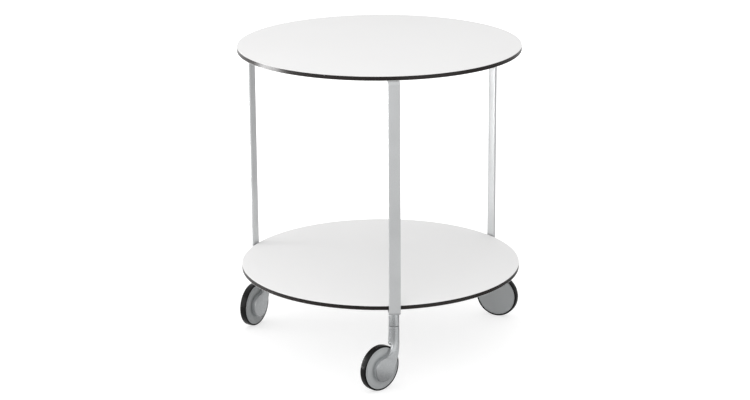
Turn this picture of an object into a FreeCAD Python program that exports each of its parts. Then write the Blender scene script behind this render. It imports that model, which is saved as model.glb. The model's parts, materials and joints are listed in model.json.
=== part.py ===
"""Room service table: two round boards on three flat legs, each leg standing on a one-arm castor.

Millimetres. +Z is up, z = 0 is the floor, and the Z axis is the shared axis of both boards.
The front leg stands on -Y. Heights stack up from the floor: wheel, castor arm, neck, leg, board.
Castor pieces are drawn in the castor's own frame and then placed: its origin is on the floor under
the stem, +X runs from the stem to the wheel, and +Y runs from the wheel to the arm.
"""
import FreeCAD, Part
import math
import os

Vector = FreeCAD.Vector
ORIGIN = Vector(0, 0, 0)
UP = Vector(0, 0, 1)
SIDEWAYS = Vector(0, 1, 0)

# ---- driving dimensions: boards
board_diameter = 500.0
board_thickness = 8.0
face_thickness = 0.6  # the white decor layer on each side of the dark core
face_edge_break = 0.3
board_spacing = 400.0  # from the upper face of the shelf to the upper face of the top

# ---- driving dimensions: legs, bent from flat bar
bar_width = 20.0
bar_thickness = 4.0
bar_edge_radius = 1.2
bend_radius = 2.0  # inside the bend
rim_gap = 3.0  # from a board's rim to the leg
tab_end_margin = 8.0  # from the innermost screw to the end of a tab
leg_angles = {"front": -90.0, "right": 30.0, "left": 150.0}

# ---- driving dimensions: board fasteners
screw_diameter = 5.0
screw_grip = 4.5  # how far a screw reaches into its board
screw_head_diameter = 9.5
screw_head_height = 2.75
hex_key = 3.0
hex_depth = 1.6
screw_hole_clearance = 0.25
thread_clearance = 0.05
insert_wall = 1.0
insert_length = 5.6
insert_fit = 0.05
top_screw_inset = 17.0  # from the leg's outer face to the outer screw of a top tab
top_screw_pitch = 18.0
shelf_screw_pitch = 16.0  # from the castor stem to the shelf's screw
spacer_diameter = 14.0
spacer_height = 4.0

# ---- driving dimensions: castor neck, fixed under the leg
stem_inset = 19.0  # from the leg's outer face to the stem's axis
neck_diameter = 18.2
neck_length = 23.4
neck_chamfer = 0.8
neck_roof = 2.5
spigot_diameter = 10.0
weld_clearance = 0.05

# ---- driving dimensions: swivel
stem_diameter = 10.0
liner_wall = 1.4
liner_length = 16.0
liner_fit = 0.05
running_clearance = 0.06
press_clearance = 0.03
washer_diameter = 16.2
washer_thickness = 0.6
washer_clearance = 0.05
stem_end_gap = 0.6
stem_end_chamfer = 0.8
grip_ring_thickness = 1.1
grip_ring_reach = 1.1  # how far the ring stands out of the stem
groove_depth = 0.6
groove_clearance = 0.1
grip_ring_opening = 2.4

# ---- driving dimensions: castor arm
column_rise = 30.0  # from the top of the wheel to the top of the arm
column_diameter = 18.8
trail = 30.0
wheel_offset = 4.0  # the wheel's middle stands this far from the stem's axis, away from the arm
hub_diameter = 44.0
hub_edge_radius = 1.2
arm_thickness = 7.4
arm_gap = 1.5  # from the tyre's side to the arm
tyre_gap = 3.0  # from the tread to the scoop over it
stem_floor = 1.0  # metal left between the scoop's highest point and the stem's end
hub_cap_diameter = 42.0
hub_cap_thickness = 0.8
hub_cap_edge = 0.3

# ---- driving dimensions: wheel
wheel_diameter = 80.0
tyre_thickness = 3.0
tyre_width = 12.0
tyre_edge_radius = 1.4
tyre_fit = 0.03
face_recess = 0.1  # the wheel's faces lie this far inside the tyre's sides
wheel_face_thickness = 2.5
wheel_rim_thickness = 3.5
wheel_boss_diameter = 22.0
wheel_ribs = 6
wheel_rib_thickness = 2.0
wheel_rib_root = 1.0  # how far a rib runs into the boss and the rim
rim_line_width = 0.6
rim_line_depth = 0.3
cover_thickness = 1.8
cover_land = 1.6  # the rim left round the cover
cover_fit = 0.1
cover_chamfer = 0.4

# ---- driving dimensions: axle
axle_diameter = 8.0
axle_head_diameter = 12.6
axle_head_height = 1.6
axle_head_clearance = 0.2
bushing_wall = 2.0
bushing_flange_diameter = 16.0
bushing_end_gap = 0.3  # from the bushing's flange to the arm
bushing_length = 8.9
axle_ring_thickness = 0.7
axle_ring_reach = 2.8
axle_ring_gap = 0.25
axle_end_length = 0.8  # axle beyond its ring

# ---- how the castors stand: direction from stem to wheel, anticlockwise from +X
trail_directions = {"front": 217.2, "right": 328.8, "left": 234.5}

tiny = 1e-6  # tells an edge's place from its neighbour's

# ---- heights above the floor, worked out
wheel_radius = wheel_diameter / 2
stem_foot = wheel_diameter + tyre_gap + stem_floor
arm_top = wheel_diameter + column_rise
neck_bottom = arm_top + washer_thickness
leg_bottom = neck_bottom + neck_length
lower_tab_top = leg_bottom + bar_thickness
shelf_underside = lower_tab_top + spacer_height
shelf_top = shelf_underside + board_thickness
table_top = shelf_top + board_spacing
top_underside = table_top - board_thickness

# ---- distances from the boards' axis, worked out
board_radius = board_diameter / 2
leg_inner = board_radius + rim_gap
leg_outer = leg_inner + bar_thickness
stem_radius_from_axis = leg_outer - stem_inset
top_screw_radii = (leg_outer - top_screw_inset, leg_outer - top_screw_inset - top_screw_pitch)
shelf_screw_radii = (stem_radius_from_axis - shelf_screw_pitch,)
top_tab_end = min(top_screw_radii) - tab_end_margin
lower_tab_end = min(shelf_screw_radii) - tab_end_margin

# ---- places across the castor, worked out: +Y of the castor runs from the wheel to the arm
wheel_middle = -wheel_offset
arm_inner = wheel_middle + tyre_width / 2 + arm_gap
arm_outer = arm_inner + arm_thickness
wheel_face = wheel_middle + tyre_width / 2 - face_recess
wheel_back = wheel_middle - tyre_width / 2 + face_recess
flange_outer = arm_inner - bushing_end_gap
bushing_end = flange_outer - bushing_length
axle_ring_top = bushing_end - axle_ring_gap
axle_end = axle_ring_top - axle_ring_thickness - axle_end_length
head_seat = arm_outer - axle_head_height - axle_head_clearance - hub_cap_thickness


def cylinder(radius, low, high):
    """An upright cylinder on the Z axis."""
    return Part.makeCylinder(radius, high - low, Vector(0, 0, low), UP)


def tube(outer, inner, low, high):
    """An upright ring on the Z axis."""
    return cylinder(outer, low, high).cut(cylinder(inner, low, high))


def wheel_cylinder(radius, start, end):
    """A cylinder on the castor's axle, between two places across the castor."""
    return Part.makeCylinder(radius, end - start, Vector(trail, start, wheel_radius), SIDEWAYS)


def wheel_tube(outer, inner, start, end):
    """A ring on the castor's axle."""
    return wheel_cylinder(outer, start, end).cut(wheel_cylinder(inner, start, end))


def rim_edges(shape, radius, axis):
    """The circular edges of the given radius about an axis."""
    found = []
    for edge in shape.Edges:
        curve = edge.Curve
        if curve.TypeId == "Part::GeomCircle" and abs(curve.Radius - radius) < tiny:
            if abs(abs(curve.Axis.dot(axis)) - 1) < tiny:
                found.append(edge)
    return found


def turned(shape, angle):
    """A copy turned about the boards' axis."""
    copy = shape.copy()
    copy.rotate(ORIGIN, UP, angle)
    return copy


def at_radius(shape, radius, angle):
    """A copy moved out along +X and then turned about the boards' axis."""
    copy = shape.copy()
    copy.translate(Vector(radius, 0, 0))
    copy.rotate(ORIGIN, UP, angle)
    return copy


def around(shape, radii):
    """Copies at each leg and each of the given radii, as one group of separate solids."""
    places = [(radius, angle) for angle in leg_angles.values() for radius in radii]
    return Part.makeCompound([at_radius(shape, radius, angle) for radius, angle in places])


def on_castor(shape, side):
    """A copy of a castor piece at its leg, turned the way that castor stands."""
    copy = shape.copy()
    copy.rotate(ORIGIN, UP, trail_directions[side])
    angle = math.radians(leg_angles[side])
    foot = Vector(math.cos(angle), math.sin(angle), 0) * stem_radius_from_axis
    copy.translate(foot)
    return copy


# ---- boards

def board_layers(underside, screw_radii):
    """A compact laminate board as core, upper face and lower face, with blind holes for its inserts."""
    core_low = underside + face_thickness
    core_high = underside + board_thickness - face_thickness
    hole_radius = screw_diameter / 2 + thread_clearance + insert_wall + insert_fit
    holes = around(cylinder(hole_radius, underside, underside + insert_length), screw_radii)
    core = cylinder(board_radius, core_low, core_high).cut(holes)
    upper = cylinder(board_radius, core_high, underside + board_thickness)
    lower = cylinder(board_radius, underside, core_low)
    upper_rim = [e for e in upper.Edges if e.BoundBox.ZMin > core_high + tiny]
    lower_rim = [e for e in lower.Edges if e.BoundBox.ZMax < core_low - tiny]
    upper = upper.makeChamfer(face_edge_break, upper_rim)
    lower = lower.makeChamfer(face_edge_break, lower_rim)
    return core, upper, lower.cut(holes)


def hexagon_prism(across_flats, low, high):
    """An upright six-sided prism."""
    corner = Vector(across_flats / math.sqrt(3), 0, low)
    points = [FreeCAD.Rotation(UP, 60 * k).multVec(corner) for k in range(7)]
    return Part.Face(Part.makePolygon(points)).extrude(Vector(0, 0, high - low))


def button_screw(seat, tip):
    """A button-head screw that points up: its head is under the seat and has a hexagon socket."""
    head_radius = screw_head_diameter / 2
    dome_radius = (head_radius ** 2 + screw_head_height ** 2) / (2 * screw_head_height)
    dome = Part.makeSphere(dome_radius, Vector(0, 0, seat - screw_head_height + dome_radius))
    head = cylinder(head_radius, seat - screw_head_height, seat).common(dome)
    shank = cylinder(screw_diameter / 2, seat, tip)
    socket = hexagon_prism(hex_key, seat - screw_head_height, seat - screw_head_height + hex_depth)
    return head.fuse(shank).cut(socket).removeSplitter()


def threaded_insert(underside):
    """A brass insert, flush with the board's underside."""
    inner = screw_diameter / 2 + thread_clearance
    return tube(inner + insert_wall, inner, underside, underside + insert_length)


# ---- legs

def leg():
    """A flat bar along +X's side, bent inwards under each board, with its long edges rounded."""
    outside = bend_radius + bar_thickness
    corner = math.sqrt(0.5)
    tab_top = top_underside
    tab_under = tab_top - bar_thickness

    def point(radius, height):
        return Vector(radius, -bar_width / 2, height)

    def bend(centre_radius, centre_height, radius, start, end, up):
        """A quarter turn between two directions, each a pair of steps along radius and height."""
        points = []
        for along, high in (start, (corner, corner * up), end):
            points.append(point(centre_radius + radius * along, centre_height + radius * high))
        return Part.Arc(*points).toShape()

    lower_centre = (leg_inner - bend_radius, lower_tab_top + bend_radius)
    upper_centre = (leg_inner - bend_radius, tab_under - bend_radius)
    bends = [
        bend(*lower_centre, outside, (0, -1), (1, 0), -1),
        bend(*upper_centre, outside, (1, 0), (0, 1), 1),
        bend(*upper_centre, bend_radius, (0, 1), (1, 0), 1),
        bend(*lower_centre, bend_radius, (1, 0), (0, -1), -1),
    ]
    starts = [bend_arc.firstVertex().Point for bend_arc in bends]
    ends = [bend_arc.lastVertex().Point for bend_arc in bends]
    runs = [
        [point(lower_tab_end, leg_bottom), starts[0]],
        [ends[0], starts[1]],
        [ends[1], point(top_tab_end, tab_top), point(top_tab_end, tab_under), starts[2]],
        [ends[2], starts[3]],
        [ends[3], point(lower_tab_end, lower_tab_top), point(lower_tab_end, leg_bottom)],
    ]
    edges = []
    for number, run in enumerate(runs):
        edges += [Part.makeLine(a, b) for a, b in zip(run, run[1:])]
        edges += bends[number:number + 1]
    bar = Part.Face(Part.Wire(edges)).extrude(Vector(0, bar_width, 0))
    tab_ends = (lower_tab_end, top_tab_end)
    long_edges = []
    for edge in bar.Edges:
        box = edge.BoundBox
        on_side = box.YLength < tiny
        end_edge = any(max(abs(box.XMin - r), abs(box.XMax - r)) < tiny for r in tab_ends)
        if on_side and not end_edge:
            long_edges.append(edge)
    bar = bar.makeFillet(bar_edge_radius, long_edges)
    screw_hole = screw_diameter / 2 + screw_hole_clearance
    for radius in top_screw_radii:
        bar = bar.cut(Part.makeCylinder(screw_hole, bar_thickness, Vector(radius, 0, tab_under), UP))
    for radius in shelf_screw_radii:
        bar = bar.cut(Part.makeCylinder(screw_hole, bar_thickness, Vector(radius, 0, leg_bottom), UP))
    spigot_hole = spigot_diameter / 2 + weld_clearance
    stem_place = Vector(stem_radius_from_axis, 0, leg_bottom)
    return bar.cut(Part.makeCylinder(spigot_hole, bar_thickness, stem_place, UP))


# ---- castor: what stays on the leg

liner_radius = stem_diameter / 2 + running_clearance
neck_bore = liner_radius + liner_wall + liner_fit
liner_bottom = neck_bottom
liner_top = liner_bottom + liner_length
groove_bottom = liner_top + groove_clearance
stem_top = leg_bottom - neck_roof - stem_end_gap


def castor_neck():
    """The turned neck under the leg: a blind bore for the swivel and a spigot in the leg's tab."""
    body = cylinder(neck_diameter / 2, neck_bottom, leg_bottom)
    lower_rim = [e for e in rim_edges(body, neck_diameter / 2, UP) if e.BoundBox.ZMax < neck_bottom + tiny]
    body = body.makeChamfer(neck_chamfer, lower_rim)
    body = body.cut(cylinder(neck_bore, neck_bottom, leg_bottom - neck_roof))
    return body.fuse(cylinder(spigot_diameter / 2, leg_bottom, lower_tab_top)).removeSplitter()


def stem_liner():
    """The nylon liner that the stem turns in."""
    return tube(liner_radius + liner_wall, liner_radius, liner_bottom, liner_top)


# ---- castor: what swivels

def stem_pin():
    """The steel stem, pressed into the arm, with a groove for its grip ring."""
    pin = cylinder(stem_diameter / 2, stem_foot, stem_top)
    ends = rim_edges(pin, stem_diameter / 2, UP)
    pin = pin.makeChamfer(stem_end_chamfer, ends)
    groove_top = groove_bottom + grip_ring_thickness + 2 * groove_clearance
    groove = tube(stem_diameter, stem_diameter / 2 - groove_depth, groove_bottom, groove_top)
    return pin.cut(groove)


def grip_ring():
    """The split spring ring that holds the stem in the neck."""
    low = groove_bottom + groove_clearance
    high = low + grip_ring_thickness
    outer = stem_diameter / 2 + grip_ring_reach
    ring = tube(outer, stem_diameter / 2 - groove_depth + groove_clearance, low, high)
    corner = Vector(0, -grip_ring_opening / 2, low)
    return ring.cut(Part.makeBox(outer, grip_ring_opening, grip_ring_thickness, corner))


def swivel_washer():
    """The thin washer that shows as the dark seam between neck and arm."""
    return tube(washer_diameter / 2, liner_radius, arm_top, neck_bottom - washer_clearance)


# Sections of the arm, each level. The first list runs from the arm's top (1) down to the hub's top (0), and
# the second from the hub's top (1) down to its middle (0). Back is the share of the way from the column's
# back to the hub's back, and front the share of the way from the column's front to the hub's middle. Low and
# high are the share of the way from the round column to the flat hub, on the wheel's side and on the outside.
# A squareness of 2 is an ellipse, and above it a section is squarer.
column_sections = [
    {"height": 1.00, "back": 0.00, "front": 0.00, "low": 0.00, "high": 0.00, "squareness": 2.0},
    {"height": 0.80, "back": 0.00, "front": 0.00, "low": 0.00, "high": 0.00, "squareness": 2.0},
    {"height": 0.56, "back": 0.00, "front": 0.02, "low": -0.01, "high": 0.15, "squareness": 2.0},
    {"height": 0.40, "back": 0.01, "front": 0.05, "low": -0.03, "high": 0.50, "squareness": 2.1},
    {"height": 0.26, "back": 0.06, "front": 0.12, "low": 0.08, "high": 1.00, "squareness": 2.4},
    {"height": 0.12, "back": 0.18, "front": 0.31, "low": 0.56, "high": 1.00, "squareness": 3.0},
]
hub_sections = [
    {"height": 0.95, "back": 0.35, "front": 0.68, "low": 1.00, "high": 1.00, "squareness": 3.6},
    {"height": 0.50, "back": 0.65, "front": 1.53, "low": 1.00, "high": 1.00, "squareness": 4.0},
    {"height": 0.00, "back": 1.00, "front": 1.85, "low": 1.00, "high": 1.00, "squareness": 4.0},
]
section_points = 32


def arm_section(height, row):
    """A closed smooth section at one height."""
    column = column_diameter / 2
    hub_back = trail - hub_diameter / 2
    x_low = -column + row["back"] * (hub_back + column)
    x_high = column + row["front"] * (trail - column)
    y_low = -column + row["low"] * (arm_inner + column)
    y_high = column + row["high"] * (arm_outer - column)
    power = 2 / row["squareness"]
    points = []
    for k in range(section_points):
        angle = 2 * math.pi * (k + 0.5) / section_points
        reach_x = math.copysign(abs(math.cos(angle)) ** power, math.cos(angle))
        reach_y = math.copysign(abs(math.sin(angle)) ** power, math.sin(angle))
        x = (x_low + x_high) / 2 + reach_x * (x_high - x_low) / 2
        y = (y_low + y_high) / 2 + reach_y * (y_high - y_low) / 2
        points.append(Vector(x, y, height))
    curve = Part.BSplineCurve()
    curve.interpolate(Points=points, PeriodicFlag=True)
    return Part.Wire([curve.toShape()])


def arm_bend():
    """The column and its bend, as one smooth body that ends inside the hub."""
    hub = hub_diameter / 2
    hub_top = wheel_radius + hub
    column_rows = [(hub_top + row["height"] * (arm_top - hub_top), row) for row in column_sections]
    hub_rows = [(wheel_radius + row["height"] * hub, row) for row in hub_sections]
    sections = [arm_section(height, row) for height, row in column_rows + hub_rows]
    return Part.makeLoft(sections, True, False)


def castor_arm():
    """The cast arm: a round column that swings outside the wheel and ends in a round hub.

    The column's foot is scooped out round the tyre.
    """
    hub = hub_diameter / 2
    disc = wheel_cylinder(hub, arm_inner, arm_outer)
    disc = disc.makeFillet(hub_edge_radius, rim_edges(disc, hub, SIDEWAYS))
    arm = arm_bend().fuse(disc)
    widest = max(column_diameter, tyre_width)
    arm = arm.cut(wheel_cylinder(wheel_radius + tyre_gap, arm_inner - 2 * widest, arm_inner))
    cap_seat = hub_cap_diameter / 2 + press_clearance
    arm = arm.cut(wheel_cylinder(cap_seat, arm_outer, arm_outer + widest))
    arm = arm.cut(cylinder(stem_diameter / 2 + press_clearance, stem_foot, arm_top))
    arm = arm.cut(wheel_cylinder(axle_diameter / 2 + press_clearance, arm_inner, arm_outer))
    return arm.cut(wheel_cylinder(axle_head_diameter / 2 + press_clearance, head_seat, arm_outer))


def hub_cap():
    """The flat disc over the hub, with a short spigot in the axle head's counterbore."""
    radius = hub_cap_diameter / 2
    cap = wheel_cylinder(radius, arm_outer, arm_outer + hub_cap_thickness)
    outer_rim = [e for e in rim_edges(cap, radius, SIDEWAYS) if e.BoundBox.YMin > arm_outer + tiny]
    cap = cap.makeChamfer(hub_cap_edge, outer_rim)
    spigot = wheel_cylinder(axle_head_diameter / 2, arm_outer - hub_cap_thickness, arm_outer)
    return cap.fuse(spigot).removeSplitter()


def axle():
    """The steel axle: its head sits in the hub, and a ring holds the wheel on its other end."""
    shaft = wheel_cylinder(axle_diameter / 2, axle_end, head_seat)
    head = wheel_cylinder(axle_head_diameter / 2, head_seat, head_seat + axle_head_height)
    groove = wheel_tube(
        axle_diameter,
        axle_diameter / 2 - groove_depth,
        axle_ring_top - axle_ring_thickness - groove_clearance,
        axle_ring_top + groove_clearance,
    )
    return shaft.fuse(head).cut(groove)


def axle_ring():
    """The retaining ring on the axle's end, split like the stem's."""
    outer = axle_diameter / 2 + axle_ring_reach
    start = axle_ring_top - axle_ring_thickness
    ring = wheel_tube(outer, axle_diameter / 2 - groove_depth + groove_clearance, start, axle_ring_top)
    corner = Vector(trail - grip_ring_opening / 2, start, wheel_radius - outer)
    return ring.cut(Part.makeBox(grip_ring_opening, axle_ring_thickness, outer, corner))


# ---- castor: what rolls

bushing_bore = axle_diameter / 2 + running_clearance
bushing_radius = bushing_bore + bushing_wall
tyre_bore = wheel_radius - tyre_thickness
core_radius = tyre_bore - tyre_fit
cover_seat = wheel_back + cover_thickness
cover_radius = core_radius - cover_land


def wheel_bushing():
    """The flanged plastic bushing in the wheel's boss."""
    sleeve = wheel_tube(bushing_radius, bushing_bore, bushing_end, flange_outer)
    flange = wheel_tube(bushing_flange_diameter / 2, bushing_bore, wheel_face, flange_outer)
    return sleeve.fuse(flange).removeSplitter()


def wheel_core():
    """The moulded wheel: a closed face on the arm's side, a rim, a boss and ribs behind the face."""
    face_back = wheel_face - wheel_face_thickness
    rim_inner = core_radius - wheel_rim_thickness
    boss = wheel_boss_diameter / 2
    core = wheel_cylinder(core_radius, wheel_back, wheel_face)
    core = core.cut(wheel_tube(rim_inner, boss, cover_seat, face_back))
    core = core.cut(wheel_cylinder(boss, cover_seat, bushing_end))
    core = core.cut(wheel_cylinder(cover_radius + cover_fit, wheel_back, cover_seat))
    for k in range(wheel_ribs):
        corner = Vector(trail - wheel_rib_thickness / 2, cover_seat, wheel_radius + boss - wheel_rib_root)
        length = rim_inner - boss + 2 * wheel_rib_root
        rib = Part.makeBox(wheel_rib_thickness, face_back - cover_seat, length, corner)
        rib.rotate(Vector(trail, 0, wheel_radius), SIDEWAYS, 360.0 * k / wheel_ribs)
        core = core.fuse(rib)
    core = core.cut(wheel_cylinder(bushing_radius + press_clearance, wheel_back, wheel_face))
    line = rim_inner + rim_line_width
    return core.cut(wheel_tube(line, rim_inner, wheel_face - rim_line_depth, wheel_face)).removeSplitter()


def wheel_cover():
    """The plain disc that closes the wheel on the side away from the arm."""
    cover = wheel_cylinder(cover_radius, wheel_back, cover_seat)
    outer_rim = [e for e in rim_edges(cover, cover_radius, SIDEWAYS) if e.BoundBox.YMax < wheel_back + tiny]
    return cover.makeChamfer(cover_chamfer, outer_rim)


def tyre():
    """The rubber tyre, with rounded shoulders."""
    half = tyre_width / 2
    ring = wheel_tube(wheel_radius, tyre_bore, wheel_middle - half, wheel_middle + half)
    return ring.makeFillet(tyre_edge_radius, rim_edges(ring, wheel_radius, SIDEWAYS))


# ---- the whole table

def table_pieces():
    """Every node of the part, as a name and its shape."""
    pieces = {}
    names = ("core", "upper_face", "lower_face")
    boards = {
        "top_board": (top_underside, top_screw_radii),
        "lower_board": (shelf_underside, shelf_screw_radii),
    }
    for board, (underside, screw_radii) in boards.items():
        for name, shape in zip(names, board_layers(underside, screw_radii)):
            pieces[f"{board}_{name}"] = shape
        pieces[f"{board}_inserts"] = around(threaded_insert(underside), screw_radii)
    top_screw = button_screw(top_underside - bar_thickness, top_underside + screw_grip)
    shelf_screw = button_screw(leg_bottom, shelf_underside + screw_grip)
    spacer_hole = screw_diameter / 2 + screw_hole_clearance
    spacer = tube(spacer_diameter / 2, spacer_hole, lower_tab_top, shelf_underside)
    pieces["top_board_screws"] = around(top_screw, top_screw_radii)
    pieces["lower_board_screws"] = around(shelf_screw, shelf_screw_radii)
    pieces["lower_board_spacers"] = around(spacer, shelf_screw_radii)

    bar = leg()
    on_each_castor = {
        "castor_neck": castor_neck(),
        "stem_liner": stem_liner(),
        "stem_pin": stem_pin(),
        "grip_ring": grip_ring(),
        "swivel_washer": swivel_washer(),
        "castor_arm": castor_arm(),
        "hub_cap": hub_cap(),
        "axle": axle(),
        "axle_ring": axle_ring(),
        "wheel_bushing": wheel_bushing(),
        "wheel_core": wheel_core(),
        "wheel_cover": wheel_cover(),
        "tyre": tyre(),
    }
    for side, angle in leg_angles.items():
        pieces[f"leg_{side}"] = turned(bar, angle)
        for name, shape in on_each_castor.items():
            pieces[f"{name}_{side}"] = on_castor(shape, side)
    return pieces


os.makedirs("parts", exist_ok=True)
for node, shape in table_pieces().items():
    shape.exportStep(f"parts/{node}.step")
    print(f"{node:26s} solids {len(shape.Solids)} valid {shape.isValid()} volume {shape.Volume:10.1f}")
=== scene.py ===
# %% [markdown]
# # A round side trolley on three castors
# Two round boards are held between three flat silver legs, and under each leg a castor with a single arm
# swivels and rolls. An engineering model gives the sizes, the places and the joints. This file gives it
# what a camera sees: clean meshes for the pieces that show, and a finish for every piece.
#
# The engineering model is loaded as a fixed frame. Nothing in it may move, so each new piece is made where
# the frame says, and then rides on one of its bodies.

# %% Load the frame
import json
import math

import bpy
from mathutils import Matrix, Vector

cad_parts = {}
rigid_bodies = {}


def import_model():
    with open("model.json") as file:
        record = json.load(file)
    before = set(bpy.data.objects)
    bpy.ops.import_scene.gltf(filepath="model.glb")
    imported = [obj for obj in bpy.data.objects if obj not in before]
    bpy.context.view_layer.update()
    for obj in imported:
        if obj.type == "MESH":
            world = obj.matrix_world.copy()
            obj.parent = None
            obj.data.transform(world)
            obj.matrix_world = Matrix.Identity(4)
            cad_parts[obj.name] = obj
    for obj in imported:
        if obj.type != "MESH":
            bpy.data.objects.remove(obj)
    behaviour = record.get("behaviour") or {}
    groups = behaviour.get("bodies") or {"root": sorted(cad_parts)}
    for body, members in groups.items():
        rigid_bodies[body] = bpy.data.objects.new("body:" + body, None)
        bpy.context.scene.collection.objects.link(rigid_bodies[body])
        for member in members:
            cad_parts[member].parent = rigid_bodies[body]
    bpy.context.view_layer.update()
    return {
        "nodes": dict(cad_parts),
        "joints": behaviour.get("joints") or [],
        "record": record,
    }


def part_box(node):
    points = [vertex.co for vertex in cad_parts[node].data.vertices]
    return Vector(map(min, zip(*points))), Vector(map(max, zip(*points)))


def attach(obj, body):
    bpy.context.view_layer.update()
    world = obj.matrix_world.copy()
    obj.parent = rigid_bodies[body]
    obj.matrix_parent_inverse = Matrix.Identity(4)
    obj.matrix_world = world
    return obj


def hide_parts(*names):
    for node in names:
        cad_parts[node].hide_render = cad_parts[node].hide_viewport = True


for default in list(bpy.data.objects):
    bpy.data.objects.remove(default)
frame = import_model()
joints = {joint["name"]: joint for joint in frame["joints"]}
sides = ("front", "right", "left")
mm = 0.001

# %% [markdown]
# ## A frame for each castor
# The three castors are the same, but each one is turned its own way, so measuring one in the table's frame
# would be awkward. Instead a matrix carries a castor's own frame to the table's: its origin is on the floor
# under the stem, X runs from the stem to the wheel, and Y runs from the wheel to the arm. A castor's pieces
# are modelled once in that frame, and each copy is placed by its matrix.


# %% Castor matrices, and sizes measured in a castor's own frame
def castor_matrix(side):
    """The matrix from a castor's own frame to the table's, from the places of its two joints."""
    stem = Vector(joints[f"{side}_swivel"]["pos_m"])
    wheel = Vector(joints[f"{side}_wheel_spin"]["pos_m"])
    across = Vector(joints[f"{side}_wheel_spin"]["axis"])
    along = across.cross(Vector((0, 0, 1)))
    matrix = Matrix((along, across, Vector((0, 0, 1)))).transposed().to_4x4()
    matrix.translation = Vector((stem.x, stem.y, 0))
    print(side, "castor: the wheel trails its stem by", round((wheel - stem).dot(along) / mm, 2), "mm")
    return matrix


castor_matrices = {side: castor_matrix(side) for side in sides}


def castor_box(name):
    """Lowest and highest corner of a castor's piece in the castor's own frame, measured on the front one."""
    to_castor = castor_matrices["front"].inverted()
    points = [to_castor @ vertex.co for vertex in frame["nodes"][f"{name}_front"].data.vertices]
    return [Vector([pick(point[k] for point in points) for k in range(3)]) for pick in (min, max)]


tyre_low, tyre_high = castor_box("tyre")
core_low, core_high = castor_box("wheel_core")
cover_low, cover_high = castor_box("wheel_cover")
cap_low, cap_high = castor_box("hub_cap")
arm_high = castor_box("castor_arm")[1]
neck_low, neck_high = castor_box("castor_neck")
wheel_radius = (tyre_high.z - tyre_low.z) / 2
trail = (tyre_high.x + tyre_low.x) / 2
hub_radius = arm_high.x - trail
arm_inner = tyre_high.y + 1.5 * mm
arm_outer = cap_low.y + 0.8 * mm
print("Wheel", round(2 * wheel_radius / mm, 1), "mm, hub", round(2 * hub_radius / mm, 1), "mm across")

# %% [markdown]
# ## Helpers for modelling
# Operators act on what is selected, and the frame's nodes come in selected, so every piece starts by
# clearing the selection. Parts of a piece are then selected by a test of their place or direction, never by
# number. A finished piece keeps its place in its mesh, with its object at the origin.


# %% Start, name and modify a piece
weld = 0.001 * mm


def start_piece():
    """Leaves edit mode and clears the selection, so that the next operator acts on the new piece alone."""
    if bpy.context.object and bpy.context.object.mode != "OBJECT":
        bpy.ops.object.mode_set(mode="OBJECT")
    bpy.ops.object.select_all(action="DESELECT")


def name_piece(name):
    """Names the piece that was just added and returns it."""
    piece = bpy.context.object
    piece.name = name
    piece.data.name = name
    return piece


def modify(piece, kind, **settings):
    """Adds a modifier with these settings and applies it."""
    bpy.context.view_layer.objects.active = piece
    modifier = piece.modifiers.new(kind.lower(), kind)
    for setting, value in settings.items():
        setattr(modifier, setting, value)
    bpy.ops.object.modifier_apply(modifier=modifier.name)


# %% Smooth, place and copy a piece
def smooth(piece, angle=35):
    """Smooth shading, except over edges sharper than the angle in degrees."""
    start_piece()
    piece.select_set(True)
    bpy.context.view_layer.objects.active = piece
    bpy.ops.object.shade_smooth_by_angle(angle=math.radians(angle))


def place(piece, matrix):
    """Carries a piece by a matrix into its mesh, and leaves its object at the origin."""
    start_piece()
    piece.matrix_world = matrix
    piece.select_set(True)
    bpy.context.view_layer.objects.active = piece
    bpy.ops.object.transform_apply(location=True, rotation=True, scale=True)
    return piece


def place_copy(piece, name, matrix):
    """A copy with its own mesh, carried by a matrix."""
    copy = piece.copy()
    copy.data = piece.data.copy()
    copy.name = name
    copy.data.name = name
    bpy.context.scene.collection.objects.link(copy)
    return place(copy, matrix)


# %% Select by place, and drill
select_modes = {"polygons": "FACE", "edges": "EDGE", "vertices": "VERT"}


def select_where(piece, test, kind="polygons"):
    """Selects the polygons, edges or vertices of a piece that pass a test, and leaves it in edit mode."""
    bpy.context.view_layer.objects.active = piece
    bpy.ops.object.mode_set(mode="EDIT")
    bpy.ops.mesh.select_mode(type=select_modes[kind])
    bpy.ops.mesh.select_all(action="DESELECT")
    bpy.ops.object.mode_set(mode="OBJECT")
    for part in getattr(piece.data, kind):
        part.select = test(part)
    bpy.ops.object.mode_set(mode="EDIT")


def drill(piece, radius, start, end, steps=48):
    """Cuts a round hole between two places."""
    way = Vector(end) - Vector(start)
    start_piece()
    bpy.ops.mesh.primitive_cylinder_add(
        vertices=steps, radius=radius, depth=way.length, location=Vector(start) + way / 2,
        rotation=way.to_track_quat("Z", "Y").to_euler(),
    )
    bit = bpy.context.object
    modify(piece, "BOOLEAN", operation="DIFFERENCE", object=bit)
    bpy.data.objects.remove(bit)


# %% [markdown]
# ## Turned pieces
# Boards, tyres, wheels and caps are all turned shapes. On a lathe the tool follows a profile while the work
# spins, and Blender's spin operator does the same. One point is drawn out along the profile, each step an
# extrusion, and the line is spun round. Real edges are never perfectly sharp, and it is the small
# round on an edge that catches the light, so every outside corner of a profile gets its own arc.


# %% A profile with rounded corners, and the lathe
def rounded(profile, rounds, count=4):
    """The profile with an arc in place of each corner named in rounds, as its number and its radius."""
    points = []
    for number, corner in enumerate(profile):
        corner = Vector(corner)
        if number not in rounds:
            points.append(corner)
            continue
        back = (Vector(profile[number - 1]) - corner).normalized()
        ahead = (Vector(profile[(number + 1) % len(profile)]) - corner).normalized()
        half = back.angle(ahead) / 2
        centre = corner + (back + ahead).normalized() * rounds[number] / math.sin(half)
        first = corner + back * rounds[number] / math.tan(half) - centre
        last = corner + ahead * rounds[number] / math.tan(half) - centre
        points += [centre + rounds[number] * first.slerp(last, step / count) for step in range(count + 1)]
    return points


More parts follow.
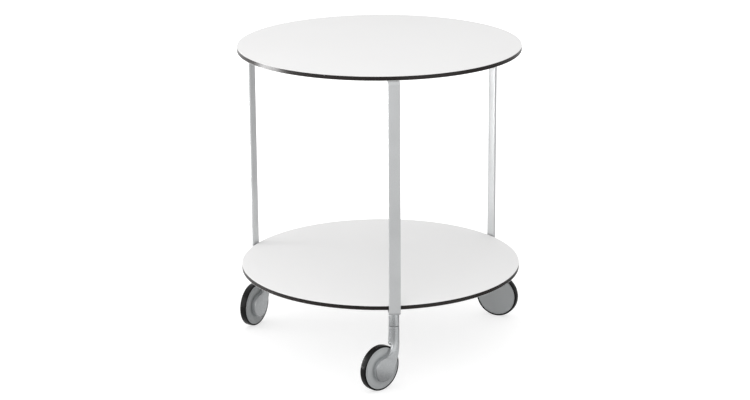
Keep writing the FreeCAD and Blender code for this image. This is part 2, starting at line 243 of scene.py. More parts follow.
def turn(name, profile, steps, closed=False):
    """A piece turned about the Z axis from a profile of (radius, height) points."""
    start_piece()
    bpy.ops.mesh.primitive_plane_add(size=mm)
    piece = name_piece(name)
    bpy.ops.object.mode_set(mode="EDIT")
    bpy.ops.mesh.merge(type="CENTER")
    places = [Vector((radius, 0, height)) for radius, height in profile]
    bpy.ops.transform.translate(value=places[0])
    if closed:
        places.append(places[0])
    for here, there in zip(places, places[1:]):
        bpy.ops.mesh.extrude_region_move(TRANSFORM_OT_translate={"value": there - here})
    bpy.ops.mesh.select_all(action="SELECT")
    bpy.ops.mesh.spin(steps=steps, angle=2 * math.pi, center=(0, 0, 0), axis=(0, 0, 1))
    bpy.ops.mesh.select_all(action="SELECT")
    bpy.ops.mesh.remove_doubles(threshold=weld)
    bpy.ops.mesh.normals_make_consistent(inside=False)
    bpy.ops.object.mode_set(mode="OBJECT")
    smooth(piece)
    return piece


# %% [markdown]
# ## Finishes
# A shader is arithmetic on patterns, and it reads best when it is written as arithmetic. The class Wire
# stands for a socket that changes over the surface, and adds a Math node for each sum or product. The class
# Finish holds one material, and its one method for nodes takes a node's type, its settings and its inputs.


# %% Wire, a socket that does arithmetic
class Wire:
    """One output of a shader node, with Python's arithmetic."""

    def __init__(self, finish, socket):
        self.finish = finish
        self.socket = socket

    def math(self, operation, first, second):
        return self.finish.node("ShaderNodeMath", {"operation": operation}, {0: first, 1: second})

    def __add__(self, other):
        return self.math("ADD", self, other)

    def __radd__(self, other):
        return self.math("ADD", other, self)

    def __sub__(self, other):
        return self.math("SUBTRACT", self, other)

    def __rsub__(self, other):
        return self.math("SUBTRACT", other, self)

    def __mul__(self, other):
        return self.math("MULTIPLY", self, other)

    def __rmul__(self, other):
        return self.math("MULTIPLY", other, self)


# %% Finish, one material and its nodes
class Finish:
    """One material: a Principled surface and the nodes that feed it."""

    def __init__(self, name, **constants):
        self.material = bpy.data.materials.new(name)
        self.material.use_nodes = True
        self.tree = self.material.node_tree
        self.surface = self.tree.nodes["Principled BSDF"]
        for socket, value in constants.items():
            self.surface.inputs[socket.replace("_", " ")].default_value = value

    def node(self, kind, settings, inputs, output=0):
        """Adds a node, sets its settings first and then its inputs, and returns one of its outputs."""
        node = self.tree.nodes.new(kind)
        for setting, value in settings.items():
            setattr(node, setting, value)
        for socket, value in inputs.items():
            self.feed(node.inputs[socket], value)
        return Wire(self, node.outputs[output])

    def feed(self, socket, value):
        """Gives a socket a wire or a fixed value."""
        if isinstance(value, Wire):
            self.tree.links.new(value.socket, socket)
        else:
            socket.default_value = value

    def show(self, **values):
        """Feeds the surface's own sockets."""
        for socket, value in values.items():
            self.feed(self.surface.inputs[socket.replace("_", " ")], value)

    def position(self, stretch=(1, 1, 1)):
        """The place on the object in metres, with each axis stretched."""
        place = self.node("ShaderNodeTexCoord", {}, {}, "Object")
        return self.node("ShaderNodeMapping", {}, {"Vector": place, "Scale": stretch})

    def noise(self, scale, detail=2, stretch=(1, 1, 1)):
        """Noise from 0 to 1, with scale as its number of features in a metre."""
        inputs = {"Vector": self.position(stretch), "Scale": scale, "Detail": detail}
        return self.node("ShaderNodeTexNoise", {}, inputs)

    def level(self, wire, low, high):
        """0 below low, 1 above high, and smooth between them."""
        settings = {"interpolation_type": "SMOOTHSTEP"}
        return self.node("ShaderNodeMapRange", settings, {"Value": wire, "From Min": low, "From Max": high})

    def blend(self, factor, first, second):
        """A colour between two others."""
        settings = {"data_type": "RGBA"}
        return self.node("ShaderNodeMix", settings, {0: factor, 6: (*first, 1), 7: (*second, 1)}, 2)

    def emboss(self, height, depth, strength):
        """Bump from a height of 0 to 1, with its real depth in metres."""
        bump = {"Height": height, "Distance": depth, "Strength": strength}
        self.show(Normal=self.node("ShaderNodeBump", {}, bump))


# %% [markdown]
# ## White laminate and its dark core
# Compact laminate is many sheets of brown paper pressed hard together, with a white decor sheet on each
# side. The decor is satin, with a fine pressed grain that only shows in the way it scatters light. At the
# rim the pressed sheets show as a dark brown band with very fine lines that run round the board, and the
# cut has been polished, so it mirrors a lamp where the decor doesn't.


# %% The boards' finishes
def white_laminate():
    """Satin white decor with a fine pressed grain."""
    finish = Finish("white_laminate", IOR=1.40)
    cloud = finish.noise(5)
    grain = finish.noise(1300, detail=3)
    finish.show(
        Base_Color=finish.blend(cloud, (0.845, 0.842, 0.840), (0.872, 0.870, 0.868)),
        Roughness=0.54 + 0.08 * cloud + 0.08 * grain,
    )
    finish.emboss(grain, 0.02 * mm, 0.4)
    return finish.material


def laminate_core():
    """Dark brown pressed paper, polished at the cut, with lines that run round the rim."""
    finish = Finish("laminate_core", IOR=1.42)
    sheets = finish.level(finish.noise(60, detail=3, stretch=(0.3, 0.3, 60)), 0.35, 0.65)
    mottle = finish.noise(90, detail=3)
    brown = finish.blend(sheets, (0.002, 0.0015, 0.001), (0.016, 0.010, 0.008))
    finish.show(Base_Color=brown, Roughness=0.17 + 0.10 * sheets + 0.06 * mottle)
    finish.emboss(sheets, 0.03 * mm, 0.5)
    return finish.material


# %% [markdown]
# ## Silver coat
# Legs and castors wear silver paint. Aluminium flakes lie in it at slightly different angles, and each flake
# is a little lighter or darker than the next. On the legs they lie deep in a pale lacquer, so the coat is
# only partly metallic. On the castors they lie close together and mirror the room almost like bare metal,
# over the skin of the casting, which is faintly uneven.


# %% The silver finishes
def toned(tone, factor):
    """A colour made lighter or darker by a factor."""
    return tuple(factor * channel for channel in tone)


def silver_coat(name, tone, metal, roughness, skin_depth):
    """Silver flake paint over metal, with an uneven skin of the given depth."""
    finish = Finish(name, Metallic=metal, IOR=1.5, Coat_Weight=0.15, Coat_Roughness=0.2)
    flake = finish.noise(2600, detail=1)
    skin = finish.noise(320)
    cloud = finish.noise(14)
    shade = finish.level(0.55 * flake + 0.45 * cloud, 0.3, 0.7)
    tint = finish.blend(shade, toned(tone, 0.87), toned(tone, 1.10))
    finish.show(Base_Color=tint, Roughness=roughness + 0.10 * flake + 0.06 * cloud)
    finish.emboss(0.7 * skin + 0.3 * flake, skin_depth, 0.5)
    return finish.material


def plated_steel(name, tone, roughness):
    """Turned and plated metal for screws, pins and rings."""
    finish = Finish(name, Metallic=1.0)
    bands = finish.noise(1500, stretch=(1, 1, 4))
    tint = finish.blend(bands, toned(tone, 0.85), tone)
    finish.show(Base_Color=tint, Roughness=roughness + 0.12 * bands)
    finish.emboss(bands, 0.01 * mm, 0.3)
    return finish.material


# %% [markdown]
# ## Plastic and rubber
# The wheel is moulded grey plastic with a satin skin. The tyre is nearly black and smoother, and its tread
# has picked up a little dust, which is paler and rougher than the rubber.


# %% Plastic and rubber finishes
def moulded_plastic(name, tone):
    """Satin moulded plastic with a spark-eroded grain."""
    finish = Finish(name, IOR=1.46)
    grain = finish.noise(1800)
    cloud = finish.noise(22)
    tint = finish.blend(cloud, toned(tone, 0.94), toned(tone, 1.05))
    finish.show(Base_Color=tint, Roughness=0.42 + 0.10 * grain)
    finish.emboss(grain, 0.015 * mm, 0.5)
    return finish.material


def tyre_rubber():
    """Black rubber with a little dust and a fine uneven skin."""
    finish = Finish("tyre_rubber", IOR=1.34)
    dust = finish.level(finish.noise(70, detail=4), 0.48, 0.75)
    grain = finish.noise(900, detail=3)
    finish.show(
        Base_Color=finish.blend(dust, (0.002, 0.002, 0.0022), (0.006, 0.0058, 0.0056)),
        Roughness=0.14 + 0.08 * dust + 0.08 * grain,
    )
    finish.emboss(grain, 0.03 * mm, 0.4)
    return finish.material


finishes = {
    "board_white": white_laminate(),
    "board_core": laminate_core(),
    "leg_silver": silver_coat("leg_coat", (0.58, 0.59, 0.595), 0.20, 0.34, 0.01 * mm),
    "castor_silver": silver_coat("castor_coat", (0.58, 0.595, 0.605), 0.95, 0.18, 0.02 * mm),
    "screw_steel": plated_steel("screw_plating", (0.60, 0.60, 0.62), 0.26),
    "insert_brass": plated_steel("insert_brass", (0.72, 0.52, 0.24), 0.24),
    "pin_steel": plated_steel("ground_steel", (0.52, 0.52, 0.53), 0.18),
    "liner_nylon": moulded_plastic("liner_nylon", (0.74, 0.72, 0.67)),
    "washer_black": moulded_plastic("washer_black", (0.02, 0.02, 0.02)),
    "wheel_grey": moulded_plastic("wheel_plastic", (0.46, 0.475, 0.48)),
    "tyre_black": tyre_rubber(),
}
print("Finishes:", ", ".join(finishes))

# %% [markdown]
# ## Dress the frame's own nodes
# Every node of the frame gets its slot's finish first. Screws, inserts, pins and rings keep the frame's
# mesh, because it already has their real shape. The pieces that show most are then replaced.


# %% Finish every node, and the call that dresses a new piece
slot_of = {row["node"]: row["material_slot"] for row in frame["record"]["subparts"]}
body_of = {node: body for body, nodes in frame["record"]["behaviour"]["bodies"].items() for node in nodes}


def paint(piece, node):
    """Gives a piece the finish that belongs to a node."""
    piece.data.materials.clear()
    piece.data.materials.append(finishes[slot_of[node]])


def dress(piece, node):
    """The new piece stands for a node: it takes the node's finish and its body."""
    paint(piece, node)
    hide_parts(node)
    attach(piece, body_of[node])


for node, piece in frame["nodes"].items():
    paint(piece, node)
print(len(frame["nodes"]), "nodes on", len(set(body_of.values())), "bodies have their finish")

# %% [markdown]
# ## The two boards
# Each board is three turned sheets: the dark core and a white sheet above and below it. The outer edge of
# each white sheet is broken by hand with fine paper, and that tiny round is the bright line that runs along
# the rim of a white board.

# %% Turn the sheets
board_steps = 256
edge_round = 0.45 * mm
for board in ("top_board", "lower_board"):
    for sheet in ("core", "upper_face", "lower_face"):
        node = f"{board}_{sheet}"
        low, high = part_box(node)
        rounds = {"core": {}, "upper_face": {2: edge_round}, "lower_face": {1: edge_round}}[sheet]
        profile = [(0, low.z), (high.x, low.z), (high.x, high.z), (0, high.z)]
        piece = turn(f"{node}_sheet", rounded(profile, rounds), board_steps)
        dress(piece, node)
        print(node, round((high.z - low.z) / mm, 2), "mm thick,", len(piece.data.polygons), "faces")

# %% [markdown]
# ## The legs
# A leg is flat bar, bent inwards twice. Sheet and bar are best drawn as a ribbon: one edge as wide as the
# bar runs along the tab, is spun through each bend and runs on, so the bends are true arcs. Solidify then
# gives the ribbon the bar's thickness, and a bevel rounds its long edges as rolling does.

# %% Draw one ribbon and give it its thickness
bar_width = 20 * mm
bar_thickness = 4 * mm
bar_round = 1.2 * mm
bend_outside = 6 * mm
bend_steps = 10
leg_low, leg_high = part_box("leg_front")
leg_reach = -leg_low.y
tab_end = -leg_high.y
stem_radius = castor_matrices["front"].translation.length
shelf_screw_radius = stem_radius - 16 * mm
top_screw_radii = (leg_reach - 17 * mm, leg_reach - 35 * mm)
screw_hole = 2.75 * mm
spigot_hole = 5.05 * mm


def leg_ribbon():
    """The outer face of a leg as a ribbon in the XZ plane, from the end of one tab to the other."""
    start_piece()
    bpy.ops.mesh.primitive_plane_add(size=bar_width, location=(tab_end, 0, leg_low.z))
    piece = name_piece("leg_ribbon")
    bpy.ops.object.transform_apply(location=True, rotation=True, scale=True)
    select_where(piece, lambda vertex: vertex.co.x < tab_end, "vertices")
    bpy.ops.mesh.delete(type="VERT")
    bpy.ops.mesh.select_all(action="SELECT")
    bpy.ops.transform.translate(value=(-bar_width / 2, 0, 0))
    straight = leg_reach - bend_outside - tab_end
    rise = leg_high.z - leg_low.z - 2 * bend_outside
    quarter = math.pi / 2
    centre = Vector((leg_reach - bend_outside, 0, leg_low.z + bend_outside))
    bpy.ops.mesh.extrude_region_move(TRANSFORM_OT_translate={"value": (straight, 0, 0)})
    bpy.ops.mesh.spin(steps=bend_steps, angle=quarter, center=centre, axis=(0, 1, 0))
    bpy.ops.mesh.extrude_region_move(TRANSFORM_OT_translate={"value": (0, 0, rise)})
    centre.z += rise
    bpy.ops.mesh.spin(steps=bend_steps, angle=quarter, center=centre, axis=(0, 1, 0))
    bpy.ops.mesh.extrude_region_move(TRANSFORM_OT_translate={"value": (-straight, 0, 0)})
    bpy.ops.mesh.select_all(action="SELECT")
    bpy.ops.mesh.remove_doubles(threshold=weld)
    bpy.ops.mesh.normals_make_consistent(inside=False)
    bpy.ops.object.mode_set(mode="OBJECT")
    return piece


def leg_bar():
    """A leg at +X: the ribbon with its thickness, its rounded long edges and its holes."""
    bar = leg_ribbon()
    modify(bar, "SOLIDIFY", thickness=bar_thickness, offset=-1, use_even_offset=True)
    modify(bar, "BEVEL", width=bar_round, segments=4, limit_method="ANGLE", angle_limit=math.radians(60))
    outside = bar_thickness
    inside = 2 * bar_thickness
    for radius in top_screw_radii:
        drill(bar, screw_hole, (radius, 0, leg_high.z - inside), (radius, 0, leg_high.z + outside))
    for radius, hole in ((shelf_screw_radius, screw_hole), (stem_radius, spigot_hole)):
        drill(bar, hole, (radius, 0, leg_low.z - outside), (radius, 0, leg_low.z + inside))
    smooth(bar)
    low, high = [Vector(bar.bound_box[k]) for k in (0, 6)]
    print("Leg from", [round(v / mm, 1) for v in low], "to", [round(v / mm, 1) for v in high], "mm")
    return bar


bar = leg_bar()
for side in sides:
    stem = castor_matrices[side].translation
    turned = Matrix.Rotation(math.atan2(stem.y, stem.x), 4, "Z")
    dress(place_copy(bar, f"{side}_leg_bar", turned), f"leg_{side}")
bpy.data.objects.remove(bar)

# %% [markdown]
# ## The castor's turned pieces
# Neck, tyre, wheel, cover and cap are all turned, each from its own profile. The neck stands upright on the
# stem's axis. The others turn about the axle, so their profiles are written as radius and place across the
# castor, and a matrix then lays the lathe's axis along the axle.

# %% The neck
liner_low, liner_high = castor_box("stem_liner")
neck_radius = (neck_high.x - neck_low.x) / 2
neck_bore = (liner_high.x - liner_low.x) / 2 + 0.05 * mm
neck_roof = 2.5 * mm
spigot_radius = 5 * mm


def turned_neck():
    """The neck under the leg, with its blind bore and the spigot that stands in the leg's tab."""
    roof = leg_low.z - neck_roof
    profile = [
        (0, roof), (neck_bore, roof), (neck_bore, neck_low.z), (neck_radius, neck_low.z),
        (neck_radius, leg_low.z), (spigot_radius, leg_low.z), (spigot_radius, neck_high.z), (0, neck_high.z),
    ]
    return turn("neck", rounded(profile, {3: 0.8 * mm, 4: 0.3 * mm, 6: 0.3 * mm}), 64)


# %% Sizes of the tyre, the wheel and the cap
tyre_shoulder = 1.4 * mm
tyre_crown = 0.35 * mm
crown_radius = 60 * mm
tread_bore = wheel_radius - 3 * mm
core_radius = (core_high.z - core_low.z) / 2
cover_radius = (cover_high.z - cover_low.z) / 2
cap_radius = (cap_high.z - cap_low.z) / 2
bushing_low = castor_box("wheel_bushing")[0]
bushing_radius = 6.09 * mm
boss_radius = 11 * mm
wheel_steps = 128
rib_count = 6
rib_thickness = 2 * mm
to_axle = Matrix.Translation((trail, 0, wheel_radius)) @ Matrix.Rotation(-math.pi / 2, 4, "X")
print("Wheel core", round(2 * core_radius / mm, 1), "mm across, cover", round(2 * cover_radius / mm, 1))


# %% The tyre
def turned_tyre():
    """The tyre, with round shoulders and a tread that is slightly crowned."""
    middle = (tyre_low.y + tyre_high.y) / 2
    slope = math.atan2(tyre_crown, middle - tyre_low.y)
    peak = wheel_radius + crown_radius * (1 / math.cos(slope) - 1)
    shoulder = peak - tyre_crown
    profile = [
        (tread_bore, tyre_low.y), (shoulder, tyre_low.y), (peak, middle), (shoulder, tyre_high.y),
        (tread_bore, tyre_high.y),
    ]
    arcs = {1: tyre_shoulder, 2: crown_radius, 3: tyre_shoulder}
    return turn("tyre", rounded(profile, arcs, 6), wheel_steps, closed=True)


# %% The wheel
def turned_wheel():
    """The moulded wheel: face with its fine ring line, rim, pocket for the cover, boss and ribs."""
    back, face = core_low.y, core_high.y
    cover_seat = cover_high.y
    face_back = face - 2.5 * mm
    rim_inner = core_radius - 3.5 * mm
    line_outer = rim_inner + 0.9 * mm
    line_floor = face - 0.5 * mm
    pocket = cover_radius + 0.1 * mm
    profile = [
        (bushing_radius, bushing_low.y), (boss_radius, bushing_low.y), (boss_radius, face_back),
        (rim_inner, face_back), (rim_inner, cover_seat), (pocket, cover_seat), (pocket, back),
        (core_radius, back), (core_radius, face), (line_outer, face), (line_outer, line_floor),
        (rim_inner, line_floor), (rim_inner, face), (bushing_radius, face),
    ]
    edge = 0.7 * mm
    soft = 0.15 * mm
    rounds = {6: edge / 2, 7: edge, 8: edge, 9: soft, 12: soft}
    wheel = turn("wheel", rounded(profile, rounds), wheel_steps, closed=True)
    rib_length = rim_inner - boss_radius + 2 * mm
    rib_middle = Vector((0, 0, (cover_seat + face_back) / 2))
    for number in range(rib_count):
        angle = 2 * math.pi * number / rib_count
        way = Vector((math.cos(angle), math.sin(angle), 0)) * (rim_inner + boss_radius) / 2
        start_piece()
        bpy.ops.mesh.primitive_cube_add(
            size=1, location=way + rib_middle, rotation=(0, 0, angle),
            scale=(rib_length, rib_thickness, face_back - cover_seat),
        )
        rib = bpy.context.object
        modify(wheel, "BOOLEAN", operation="UNION", object=rib)
        bpy.data.objects.remove(rib)
    smooth(wheel)
    return wheel


# %% The cover and the cap
def turned_cover():
    """The plain disc that closes the wheel's other side."""
    low, high = cover_low.y, cover_high.y
    profile = [(0, low), (cover_radius, low), (cover_radius, high), (0, high)]
    return turn("cover", rounded(profile, {1: 0.4 * mm}), wheel_steps)


def turned_cap():
    """The flat disc over the hub, with the short spigot that holds it in the axle's counterbore."""
    spigot = 6.3 * mm
    profile = [
        (0, cap_low.y), (spigot, cap_low.y), (spigot, arm_outer), (cap_radius, arm_outer),
        (cap_radius, cap_high.y), (0, cap_high.y),
    ]
    print("Cap", round(2 * cap_radius / mm, 2), "mm across, proud of the arm by",
          round((cap_high.y - arm_outer) / mm, 2), "mm")
    return turn("cap", rounded(profile, {4: 0.5 * mm}), 96)


# %% Turn each piece once, and give every castor its copy
turned_pieces = {
    "castor_neck": (turned_neck(), Matrix()),
    "tyre": (turned_tyre(), to_axle),
    "wheel_core": (turned_wheel(), to_axle),
    "wheel_cover": (turned_cover(), to_axle),
    "hub_cap": (turned_cap(), to_axle),
}
for name, (piece, stand) in turned_pieces.items():
    for side in sides:
        dress(place_copy(piece, f"{side}_{name}_turned", castor_matrices[side] @ stand), f"{name}_{side}")
    print(name, len(piece.data.polygons), "faces")
    bpy.data.objects.remove(piece)

# %% [markdown]
# ## The castor's arm
# The arm is the one cast piece, and the only one with no straight edges. It could be cut from solids, but a
# casting flows, so it is drawn as a cage for a subdivision surface. The hub is a short cylinder. The rings
# of the column are extruded from its top downwards, each set to its own outline, and they fan round the
# inner bend. Where the hub faces the column its wall is opened, and the last ring is bridged to the
# opening. The hub's outer edge is creased, so the smooth surface keeps it fairly crisp.

# %% The outlines of the rings
# In millimetres: front and back place of a ring as (x, z) and its reach across as (low y, high y). The last
# number says how far it has gone from an ellipse to the slot that the hub's opening is.
ring_outlines = [
    ((8.6, 110.0), (-8.6, 110.0), (-8.6, 8.6), 0.0),
    ((9.4, 110.0), (-9.4, 110.0), (-9.4, 9.4), 0.0),
    ((9.4, 109.2), (-9.4, 109.2), (-9.4, 9.4), 0.0),
    ((9.4, 99.0), (-9.4, 99.0), (-9.4, 9.4), 0.0),
    ((10.0, 88.0), (-9.4, 88.0), (-9.6, 9.5), 0.0),
    ((10.4, 80.5), (-9.2, 79.0), (-9.8, 10.0), 0.1),
    ((12.0, 73.0), (-7.4, 70.0), (-8.0, 10.6), 0.3),
    ((15.8, 67.6), (-3.6, 60.5), (-1.0, 10.9), 0.6),
    ((22.0, 63.6), (1.6, 49.5), (3.4, 10.9), 0.9),
]
hub_steps = 24
open_steps = 8
edge_crispness = 0.8
ring_steps = 2 * open_steps + 4


def ring_point(number, front, back, across, squareness):
    """One corner of a ring: on an ellipse, on the slot that the hub's opening is, or in between."""
    turn_angle = 2 * math.pi * number / ring_steps
    half = number if number <= ring_steps / 2 else ring_steps - number
    slot_along = max(-1, min(1, 1 - 2 * (half - 1) / open_steps))
    slot_across = 0 if half in (0, ring_steps / 2) else math.copysign(1, math.sin(turn_angle))
    along = (1 - squareness) * math.cos(turn_angle) + squareness * slot_along
    over = (1 - squareness) * math.sin(turn_angle) + squareness * slot_across
    place = (Vector(front) + Vector(back)) / 2 + along * (Vector(front) - Vector(back)) / 2
    y = (across[0] + across[1]) / 2 + over * (across[1] - across[0]) / 2
    return Vector((place.x, y, place.y)) * mm


# %% Draw the hub's part of the cage
def in_opening(place):
    """Whether a place on the hub's wall lies where the column joins it."""
    angle = math.degrees(math.atan2(place.z - wheel_radius, place.x - trail)) % 360
    return 90 < angle < 90 + 360 * open_steps / hub_steps


def hub_cage():
    """The hub as a short cylinder, open where it faces the column."""
    thickness = arm_outer - arm_inner
    start_piece()
    bpy.ops.mesh.primitive_cylinder_add(
        vertices=hub_steps, radius=hub_radius, depth=thickness,
        location=(trail, arm_inner + thickness / 2, wheel_radius), rotation=(math.pi / 2, 0, 0),
    )
    piece = name_piece("arm_cage")
    bpy.ops.object.transform_apply(location=True, rotation=True, scale=True)
    points = piece.data.vertices

    def runs_across(edge):
        first, last = [points[number].co for number in edge.vertices]
        return abs(first.y - last.y) > mm

    def outer_edge(edge):
        first, last = [points[number].co for number in edge.vertices]
        middle = (first + last) / 2
        reach = math.hypot(middle.x - trail, middle.z - wheel_radius)
        flush = all(abs(end.y - arm_outer) < weld for end in (first, last))
        return flush and reach > hub_radius - 0.5 * mm and not in_opening(middle)

    select_where(piece, runs_across, "edges")
    bpy.ops.mesh.subdivide(number_cuts=1)
    select_where(piece, lambda face: abs(face.normal.y) > 0.5)
    bpy.ops.mesh.inset(thickness=1.0 * mm, use_individual=True)
    bpy.ops.mesh.inset(thickness=2.5 * mm, use_individual=True)
    select_where(piece, outer_edge, "edges")
    bpy.ops.transform.edge_crease(value=edge_crispness)
    select_where(piece, lambda face: abs(face.normal.y) < 0.5 and in_opening(face.center))
    bpy.ops.mesh.delete(type="FACE")
    bpy.ops.object.mode_set(mode="OBJECT")
    return piece


# %% Draw the column's rings, and bridge them to the hub
def arm_cage():
    """The whole cage. A ring's corners are always the newest vertices, so they come last in the mesh."""
    piece = hub_cage()
    bpy.ops.object.mode_set(mode="EDIT")
    bpy.ops.mesh.select_mode(type="VERT")
    bpy.ops.mesh.primitive_circle_add(vertices=ring_steps, radius=hub_radius, fill_type="NGON")
    for number, outline in enumerate(ring_outlines):
        if number:
            bpy.ops.mesh.extrude_region_move(TRANSFORM_OT_translate={"value": (0, 0, -mm)})
        bpy.ops.object.mode_set(mode="OBJECT")
        for corner, vertex in enumerate(list(piece.data.vertices)[-ring_steps:]):
            vertex.co = ring_point(corner, *outline)
        bpy.ops.object.mode_set(mode="EDIT")
    bpy.ops.mesh.delete(type="ONLY_FACE")
    bpy.ops.mesh.select_all(action="DESELECT")
    bpy.ops.mesh.select_mode(type="EDGE")
    bpy.ops.mesh.select_non_manifold()
    bpy.ops.mesh.bridge_edge_loops(number_cuts=1, interpolation="LINEAR")
    bpy.ops.mesh.select_all(action="SELECT")
    bpy.ops.mesh.normals_make_consistent(inside=False)
    bpy.ops.object.mode_set(mode="OBJECT")
    return piece


# %% Smooth it, cut the scoop over the tyre, and drill it
scoop_radius = wheel_radius + 3 * mm
scoop_length = 40 * mm
voxel = 0.3 * mm
seat_radius = cap_radius + 0.3 * mm
seat_depth = 0.4 * mm
axle_bore = 4.03 * mm
axle_head_depth = 1.6 * mm
stem_low, stem_high = castor_box("stem_pin")
pin_bore = (stem_high.x - stem_low.x) / 2 + 0.03 * mm
axle_low, axle_high = castor_box("axle")
axle_head_radius = (axle_high.x - axle_low.x) / 2


def on_axle(y):
    """A place on the axle's line, this far across the castor."""
    return trail, y, wheel_radius


def cast_arm():
    """The arm: the cage as a smooth surface, with the casting's small rounds where the scoop meets it."""
    arm = arm_cage()
    modify(arm, "SUBSURF", levels=3, render_levels=3)
    drill(arm, scoop_radius, on_axle(arm_inner - scoop_length), on_axle(arm_inner), 256)
    modify(arm, "REMESH", mode="VOXEL", voxel_size=voxel)
    modify(arm, "SMOOTH", factor=0.5, iterations=4)
    drill(arm, seat_radius, on_axle(arm_outer - seat_depth), on_axle(arm_outer + 5 * mm), 96)
    drill(arm, pin_bore, (0, 0, stem_low.z), (0, 0, arm_high.z + mm))
    drill(arm, axle_bore, on_axle(arm_inner - mm), on_axle(arm_outer + mm))
    drill(arm, axle_head_radius, on_axle(axle_high.y - axle_head_depth), on_axle(arm_outer + mm))
    smooth(arm, 50)
    low, high = [Vector(arm.bound_box[k]) for k in (0, 6)]
    print("Arm from", [round(v / mm, 2) for v in low], "to", [round(v / mm, 2) for v in high], "mm;",
          len(arm.data.polygons), "faces")
    return arm


arm = cast_arm()
for side in sides:
    dress(place_copy(arm, f"{side}_castor_arm_cast", castor_matrices[side]), f"castor_arm_{side}")
bpy.data.objects.remove(arm)

# %% [markdown]
# ## Camera
# The camera was matched to the table: the ellipses of the boards, the legs and the wheels together fix where
# it stands, how far it looks down and how long its lens is. It leans by a third of a degree.

# %% Set the camera
camera_distance = 3.65515
camera_height = 1.35881
camera_side = math.radians(-5.37)
camera_turn = math.radians(-5.224)
camera_down = math.radians(16.69)
camera_lean = math.radians(-0.35)
camera_data = bpy.data.cameras.new("camera")
camera_data.lens = 102.03
camera = bpy.data.objects.new("camera", camera_data)
bpy.context.scene.collection.objects.link(camera)
camera_x = camera_distance * math.sin(camera_side)
camera_y = -camera_distance * math.cos(camera_side)
camera_place = Vector((camera_x, camera_y, camera_height))
camera.matrix_world = (
    Matrix.Translation(camera_place) @ Matrix.Rotation(camera_turn, 4, "Z")
    @ Matrix.Rotation(math.pi / 2 - camera_down, 4, "X") @ Matrix.Rotation(camera_lean, 4, "Z")
)
bpy.context.scene.camera = camera
print("Camera at", [round(v, 3) for v in camera_place])

# %% [markdown]
# ## Light
# Soft light falls on the table from the whole room. Lamps on the left and in front add some shape to it, a
# faint one overhead fills the top, and a narrow strip on the left draws a thin highlight on tyres and rims.
# The lamps are kept weak, because a white board that mirrors a strong lamp at a flat angle is washed out.

# %% Lamps
look_at = Vector((0, 0, 0.3))


def soft_lamp(name, direction, distance, size, radiance):
    """A rectangular lamp that faces the table, from an angle around it and a height, both in degrees."""
    around, up = [math.radians(angle) for angle in direction]
    data = bpy.data.lights.new(name, "AREA")
    data.shape = "RECTANGLE"
    data.size, data.size_y = size
    data.energy = radiance * math.pi * size[0] * size[1]
    lamp = bpy.data.objects.new(name, data)
    bpy.context.scene.collection.objects.link(lamp)
    way = Vector((math.sin(around) * math.cos(up), -math.cos(around) * math.cos(up), math.sin(up)))
    lamp.location = look_at + way * distance
    lamp.rotation_euler = way.to_track_quat("Z", "Y").to_euler()
    print(name, "at", [round(v, 2) for v in lamp.location], "with", round(data.energy, 1), "W")


soft_lamp("left_softbox", (-88, 12), 2.2, (2.2, 1.5), 0.7)
soft_lamp("left_strip", (-103, 8), 2.2, (0.3, 0.9), 5.5)
soft_lamp("overhead_softbox", (-20, 78), 2.4, (1.8, 1.8), 0.10)
soft_lamp("front_softbox", (-18, 22), 2.4, (1.6, 1.6), 1.2)

# %% [markdown]
# ## Room and floor
# The camera sees a plain white room and a pale floor, which keeps the table's shadow near it and goes over
# into the room's white further out. Satin metal and polished rims take their light and shade from what they
# mirror, and in an even white room they would look flat. So a mirrored ray sees a studio instead: bright on
# the left and behind, darker in front, with a pale panel on the front right. Far out on the left it also
# finds a bright glint on the floor, which the rim of the top picks up.

# %% What kind of ray looks, and what a mirrored one sees
lit_side = (-0.85, 0.53, 0)
bright_side = 0.80
dark_side = 0.42
panel_side = (0.588, -0.809, 0)
panel_light = 0.55


def ray(finish, kind):
    """1 for this kind of ray, and 0 for the others."""
    return finish.node("ShaderNodeLightPath", {}, {}, kind)


def seen(finish):
    """1 for a ray that comes from the camera, also through something clear, and 0 for the others."""
    return ray(finish, "Is Camera Ray") + ray(finish, "Is Transmission Ray")


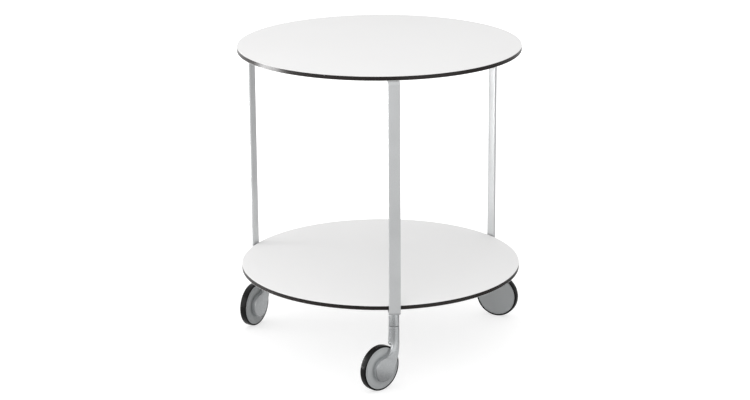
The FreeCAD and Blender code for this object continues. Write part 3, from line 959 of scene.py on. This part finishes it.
def facing(finish, place, side):
    """How much a place lies towards a side of the room: 1 at that side, and -1 at the opposite one."""
    flat = finish.node("ShaderNodeVectorMath", {"operation": "MULTIPLY"}, {0: place, 1: (1, 1, 0)})
    way = finish.node("ShaderNodeVectorMath", {"operation": "NORMALIZE"}, {0: flat})
    return finish.node("ShaderNodeVectorMath", {"operation": "DOT_PRODUCT"}, {0: way, 1: side}, "Value")


def studio(finish, place):
    """What a mirrored ray sees in the direction of a place."""
    lit = finish.level(facing(finish, place, lit_side), -0.55, 0.45)
    panel = finish.level(facing(finish, place, panel_side), 0.86, 0.98)
    return dark_side + (bright_side - dark_side) * lit + panel_light * panel


# %% The room
class Room(Finish):
    """The world's own tree, written the same way."""

    def __init__(self, world):
        world.use_nodes = True
        self.tree = world.node_tree
        self.surface = self.tree.nodes["Background"]


fall_light = 0.95
world = bpy.data.worlds.new("white_room")
bpy.context.scene.world = world
room = Room(world)
direction = room.node("ShaderNodeTexCoord", {}, {}, "Generated")
mirrored = ray(room, "Is Glossy Ray") * studio(room, direction)
falling = 1 - seen(room) - ray(room, "Is Glossy Ray")
room.show(Color=(1, 1, 1, 1), Strength=seen(room) + mirrored + fall_light * falling)
print("Room:", len(room.tree.nodes), "nodes, light that falls on the table", fall_light)

# %% The floor
floor_radius = 7
glint_side = (-0.985, 0.174, 0)
glint_light = 13.0
start_piece()
bpy.ops.mesh.primitive_circle_add(vertices=96, radius=floor_radius, fill_type="NGON")
floor = name_piece("floor")
ground = Finish("pale_floor", Roughness=0.8)
distance = ground.node("ShaderNodeVectorMath", {"operation": "LENGTH"}, {0: ground.position()}, "Value")
beside = ground.level(facing(ground, ground.position(), glint_side), 0.965, 0.99)
glint = glint_light * beside * ground.level(distance, 0.8, 1.4)
mirrored = ray(ground, "Is Glossy Ray") * (studio(ground, ground.position()) + glint)
glow = (0.62 + 0.38 * ground.level(distance, 0.3, 1.2)) * (seen(ground) + mirrored)
ground.show(
    Base_Color=ground.blend(ray(ground, "Is Glossy Ray"), (0.5, 0.5, 0.5), (0.06, 0.06, 0.06)),
    Emission_Color=ground.node("ShaderNodeCombineColor", {}, {"Red": glow, "Green": glow, "Blue": glow}),
    Emission_Strength=1.0,
)
floor.data.materials.append(ground.material)
print("Floor", 2 * floor_radius, "metres across")

bpy.context.scene.view_settings.view_transform = "Standard"
